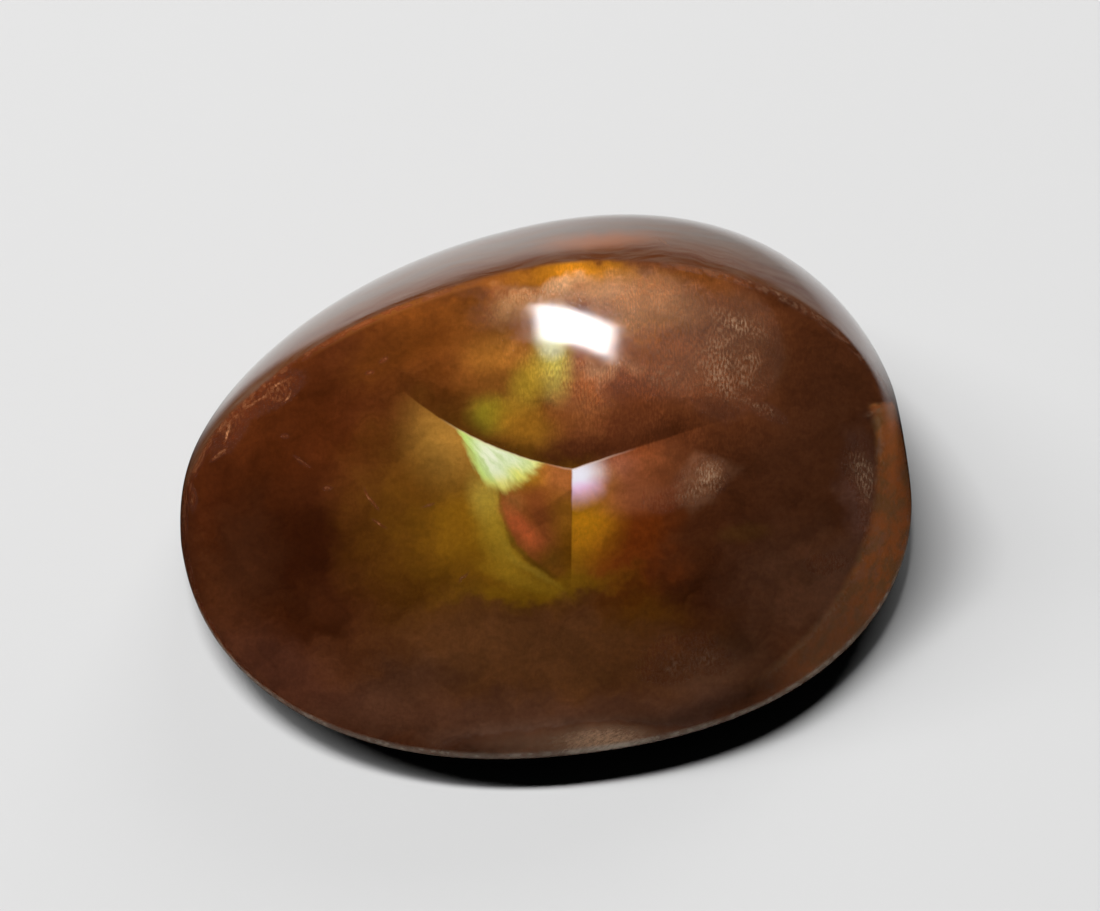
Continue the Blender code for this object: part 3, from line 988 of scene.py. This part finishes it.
def surface_wear(paint, face, calm, strokes, past, on_side):
    """Dull patches of strokes, the near edge (worn, and pale as a painted reflection of the table) and the
    scratches.
    """
    dull = 0.0
    for centre, size, turn, amount in DULL_PATCHES:
        mask = paint.spot(calm, centre, size, turn, 0.8)
        dull = paint.math("ADD", paint.times(mask, strokes, amount), dull)
    dull = paint.times(dull, paint.smooth(past, 0.12, 0.0), on_side)
    fibres = paint.grain(paint.mapped(face, (0.8, 0.3), 0.5), (4.0, 5, 0.8), 0.34, 0.66)
    for centre, size, turn, amount in NEAR_EDGE_WEAR_AND_REFLECTION:
        mask = paint.spot(calm, centre, size, turn, 0.95)
        fibrous = paint.math("MULTIPLY_ADD", fibres, 0.7, 0.3)
        dull = paint.math("ADD", paint.times(mask, amount, fibrous), dull)
    speckle = paint.grain(paint.mapped(face, (0.7, 1.2), 0.4), (6.0, 4, 0.75), 0.46, 0.68)
    in_front = paint.smooth(past, 0.9, 0.5)
    broken = paint.times(paint.math("MULTIPLY_ADD", speckle, 1.2, 0.3), in_front, on_side)
    for centre, size, turn, amount in SCRATCHES:
        mask = paint.spot(calm, centre, size, turn, 0.8)
        dull = paint.math("ADD", paint.times(mask, amount, broken), dull)
    return dull


def ground_band(paint, face, calm):
    band = rim_band(paint, face, calm, BAND_OUTSIDE_RADIUS)
    across = paint.grain(paint.mapped(face, (0.4, 0.9), 0.6), (5.0, 4, 0.75), 0.35, 0.7, 0.02, 0.13)
    return paint.times(band, across)


def worn_crest(paint, face, stone, past):
    """The crest is worn to a dotted line, except in the middle."""
    line = paint.times(paint.smooth(past, -0.11, -0.05), paint.smooth(past, 0.05, 0.0))
    ends = paint.math("MAXIMUM", paint.half(face, *CREST_LEFT), paint.half(face, *CREST_RIGHT))
    dots = paint.grain(stone, (3.5 / MM, 2, 0.6), 0.42, 0.62)
    return paint.times(line, ends, dots, 0.12)


def ground_base(paint, stone):
    """The base is ground flat and left matt, with saw marks."""
    normal = paint.node("ShaderNodeTexCoord").outputs["Normal"]
    facing = paint.vector("DOT_PRODUCT", normal, (0, 0, 1))
    saw = paint.grain(paint.mapped(stone, SAW_MARKS, 0.3), (1 / MM, 4, 0.7), 0.3, 0.7, 0.3, 0.6)
    return paint.times(paint.smooth(facing, -0.9, -0.98), saw)


def paint_outside(material, shader):
    """Clear stone with what wear and polishing left on its surface, and painted reflections of the table
    along its near edge.
    """
    paint = Paint(material)
    face = paint.face_coordinates()
    calm = paint.moved(face, paint.wander(face, 2.0, 3, 0.6), 0.25)
    strokes = brushed(paint, face)
    past = paint.behind_crest()
    stone = paint.stone_place()
    height = paint.stone_height()
    on_side = paint.smooth(height, 0.75, 1.1)
    dull = surface_wear(paint, face, calm, strokes, past, on_side)
    dull = paint.math("ADD", dull, ground_band(paint, face, calm))
    dull = paint.math("ADD", dull, worn_crest(paint, face, stone, past))

    # the edge above the bevel is worn dull all round, and its pale tint is partly a painted reflection of the
    # table along the rounded edge
    edge = paint.times(paint.smooth(height, 1.36, 1.18), paint.smooth(height, 0.7, 0.9))
    chipped = paint.grain(stone, (2.2 / MM, 3, 0.7), 0.3, 0.7, 0.12, 0.36)
    dull = paint.math("ADD", dull, paint.times(edge, chipped))
    dull = paint.math("ADD", dull, ground_base(paint, stone))
    dull = paint.math("MINIMUM", dull, MOST_DULL)

    tint = paint.mix(WARM_TINT, PALE_TINT, paint.half(calm, *PALE_TINT_EDGE))
    reach = paint.math("MULTIPLY_ADD", paint.spot(calm, *SLOW_TINT), 0.08, 0.035)
    colour = paint.mix(CLEAR_TINT, tint, paint.smooth(dull, 0.0, reach))
    colour = paint.mix(colour, EDGE_WEAR_AND_REFLECTION_TINT, edge)
    coat = paint.times(paint.spot(calm, *COATED), paint.math("MULTIPLY_ADD", strokes, 0.12, 0.05))
    paint.link(colour, shader.inputs["Base Color"])
    paint.link(paint.math("SUBTRACT", 1.0, dull), shader.inputs["Transmission Weight"])
    paint.link(coat, shader.inputs["Coat Weight"])


clear, shader = new_material("clear_chalcedony", {"Roughness": 0.085, "IOR": 1.54, "Coat Roughness": 0.34})
paint_outside(clear, shader)
fire, shader = new_material("fire_layer", {"Roughness": 0.38, "Specular IOR Level": 0.0})
paint_fire(fire, shader)
outside = new_object("polished_outside", body_mesh("polished_outside", dressed_field))
inside = new_object("fire_layer", body_mesh("fire_layer", fire_field))
for piece, material in ((outside, clear), (inside, fire)):
    piece.data.materials.append(material)
    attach(piece, "root")
outside.visible_shadow = False
outside.visible_diffuse = False
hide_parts("fire_agate_cabochon")


# Stage. Directions and places are (right, away, up) as the photographer stands
STAGE_AXES = Matrix((RIGHT, AWAY, (0, 0, 1))).transposed()
TABLE_SIDE = 600 * MM
TABLE_GREY = 0.685
LIGHT_DISTANCE = 1.0

# The highlight's four corners on the face mirror these directions
CARD_CORNERS = (
    (0.016, 0.463, 0.886), (0.224, 0.337, 0.915), (0.228, 0.151, 0.962), (0.043, 0.284, 0.958),
)
CARD_STRENGTH = 34.0
CARD_INNER = (0.97, 0.66, 0.66, 0.96)
CARD_OUTER = (1.03, 1.26, 1.30, 1.05)
CARD_GLOW = (1, 1, 1, 1, 0, 0, 0, 0)

# Only gloss sees this strip. It stands for the pale table that the back slope mirrors, and its
# glow starts, ends and dims along these ranges in mm, some of them leaning as they go away
STRIP_NEAR = (22 * MM, 1 * MM)
STRIP_FAR = (80 * MM, 300 * MM)
STRIP_DROP = 0.01 * MM
STRIP_LIGHT = 0.75
STRIP_FAR_SHARE = 0.2
STRIP_RIGHT_SHARE = 0.42
STRIP_START = (2.0, 7.5)
STRIP_START_LEAN = 0.15
STRIP_FAR_RANGE = (45, 140)
STRIP_RIGHT_RANGE = (-6, 9)
STRIP_CLOSE_RANGE = (24, 12)
STRIP_SIDE_RANGE = (19, 14)
STRIP_SIDE_LEAN = 0.15
STRIP_LEFT_RANGE = (11.6, 9.0)
STRIP_LEFT_LEAN = 0.3

# Lamps: direction, width and depth in metres, power in watts
LAMPS = {
    "key": ((-0.33, 0.34, 1), 0.60, 0.12, 8.7),
    "left": ((-0.85, 0.32, 1), 0.74, 0.12, 3.9),
    "back": ((0.5, 1.5, 1), 0.5, 0.33, 1.85),
}


def stage_piece(name, corners, material, faces=((0, 1, 2, 3),)):
    mesh = bpy.data.meshes.new(name)
    mesh.from_pydata([tuple(STAGE_AXES @ Vector(corner)) for corner in corners], [], faces)
    mesh.materials.append(material)
    piece = new_object(name, mesh)
    return piece


def glowing(name, strength):
    """A black material that only glows."""
    black = {"Base Color": (0, 0, 0, 1), "Specular IOR Level": 0}
    glow = {"Emission Color": (1, 1, 1, 1), "Emission Strength": strength}
    material, shader = new_material(name, black | glow)
    return material, Paint(material), shader


def lamp(name, toward, width, depth, power):
    """A soft lamp over the stone, with its width along the photograph."""
    light = bpy.data.lights.new(name, "AREA")
    light.shape = "RECTANGLE"
    light.size = width
    light.size_y = depth
    light.energy = power
    source = new_object(name, light)
    toward = Vector(toward).normalized()
    along = (Vector((1, 0, 0)) - toward * toward.x).normalized()
    turn = Matrix((along, toward.cross(along), toward)).transposed()
    source.rotation_mode = "QUATERNION"
    source.rotation_quaternion = (STAGE_AXES @ turn).to_quaternion()
    source.location = STAGE_AXES @ toward * LIGHT_DISTANCE
    source.visible_glossy = False
    source.visible_transmission = False


def highlight_card():
    """The highlight's source: a full middle and a glow that fades out past it."""
    corners = [Vector(corner).normalized() * LIGHT_DISTANCE for corner in CARD_CORNERS]
    middle = sum(corners, Vector()) / len(corners)
    points = []
    for shares in (CARD_INNER, CARD_OUTER):
        points += [middle + (corner - middle) * share for corner, share in zip(corners, shares)]
    faces = [(0, 1, 2, 3)] + [(i, (i + 1) % 4, 4 + (i + 1) % 4, 4 + i) for i in range(4)]
    material, paint, shader = glowing("highlight_card", CARD_STRENGTH)
    glow = paint.node("ShaderNodeAttribute", attribute_name="glow").outputs["Fac"]
    paint.link(paint.times(glow, glow, CARD_STRENGTH), shader.inputs["Emission Strength"])
    card = stage_piece("highlight_card", points, material, faces)
    card.data.attributes.new("glow", "FLOAT", "POINT").data.foreach_set("value", CARD_GLOW)
    return card


def mirrored_table():
    """The strip of pale table that the back slope mirrors."""
    corners = [(sign * STRIP_NEAR[0], STRIP_NEAR[1], -STRIP_DROP) for sign in (-1, 1)]
    corners += [(sign * STRIP_FAR[0], STRIP_FAR[1], -STRIP_DROP) for sign in (1, -1)]
    material, paint, shader = glowing("mirrored_table", STRIP_LIGHT)
    away = paint.vector("DOT_PRODUCT", paint.stone_place(), tuple(AWAY / MM))
    across = paint.vector("DOT_PRODUCT", paint.stone_place(), tuple(RIGHT / MM))
    past_start = paint.math("MULTIPLY_ADD", paint.math("MAXIMUM", across, 0.0), -STRIP_START_LEAN, away)
    beside = paint.math("SUBTRACT", paint.math("ABSOLUTE", across), paint.times(away, STRIP_SIDE_LEAN))
    to_left = paint.math("SUBTRACT", paint.times(across, -1.0), paint.times(away, STRIP_LEFT_LEAN))
    right = paint.smooth(across, *STRIP_RIGHT_RANGE, 1.0, STRIP_RIGHT_SHARE)
    glow = paint.times(
        paint.smooth(past_start, *STRIP_START),
        paint.smooth(away, *STRIP_FAR_RANGE, STRIP_LIGHT, STRIP_LIGHT * STRIP_FAR_SHARE),
        paint.math("MAXIMUM", right, paint.smooth(away, *STRIP_CLOSE_RANGE)),
        paint.smooth(beside, *STRIP_SIDE_RANGE),
        paint.smooth(to_left, *STRIP_LEFT_RANGE),
    )
    paint.link(glow, shader.inputs["Emission Strength"])
    return stage_piece("mirrored_table", corners, material)


def table_top():
    grey = {"Base Color": (TABLE_GREY, TABLE_GREY, TABLE_GREY, 1)}
    material, _ = new_material("table_top", grey | {"Roughness": 0.9, "Specular IOR Level": 0.0})
    signs = ((-1, -1), (1, -1), (1, 1), (-1, 1))
    corners = [(right * TABLE_SIDE, away * TABLE_SIDE, 0) for right, away in signs]
    table = stage_piece("table_top", corners, material)
    table.visible_glossy = False


table_top()
for piece in (mirrored_table(), highlight_card()):
    piece.visible_camera = False
    piece.visible_diffuse = False
    piece.visible_transmission = False
    piece.visible_shadow = False
for name, settings in LAMPS.items():
    lamp(name, *settings)

world = bpy.data.worlds.new("studio")
scene.world = world
world.use_nodes = True
world.node_tree.nodes["Background"].inputs["Color"].default_value = (0.002, 0.002, 0.002, 1)

# Camera and how light is traced
camera_data = bpy.data.cameras.new("camera")
camera = new_object("camera", camera_data)
scene.camera = camera
target = Vector(RIGHT) * VIEW_MIDDLE[0] + Vector(UP) * VIEW_MIDDLE[1] + Vector(SHIFT)
camera.location = target + Vector(TO_VIEWER) * CAMERA_DISTANCE
camera.rotation_mode = "QUATERNION"
camera.rotation_quaternion = Vector(TO_VIEWER).to_track_quat("Z", "Y")
camera_data.sensor_width = SENSOR_WIDTH
camera_data.lens = SENSOR_WIDTH * CAMERA_DISTANCE / VIEW_WIDTH
camera_data.clip_start = 0.01
scene.view_settings.view_transform = "Standard"
cycles = scene.cycles
cycles.max_bounces = 8
cycles.diffuse_bounces = 1
cycles.glossy_bounces = 3
cycles.transmission_bounces = 6
cycles.adaptive_threshold = 0.03
cycles.caustics_reflective = False
cycles.caustics_refractive = False
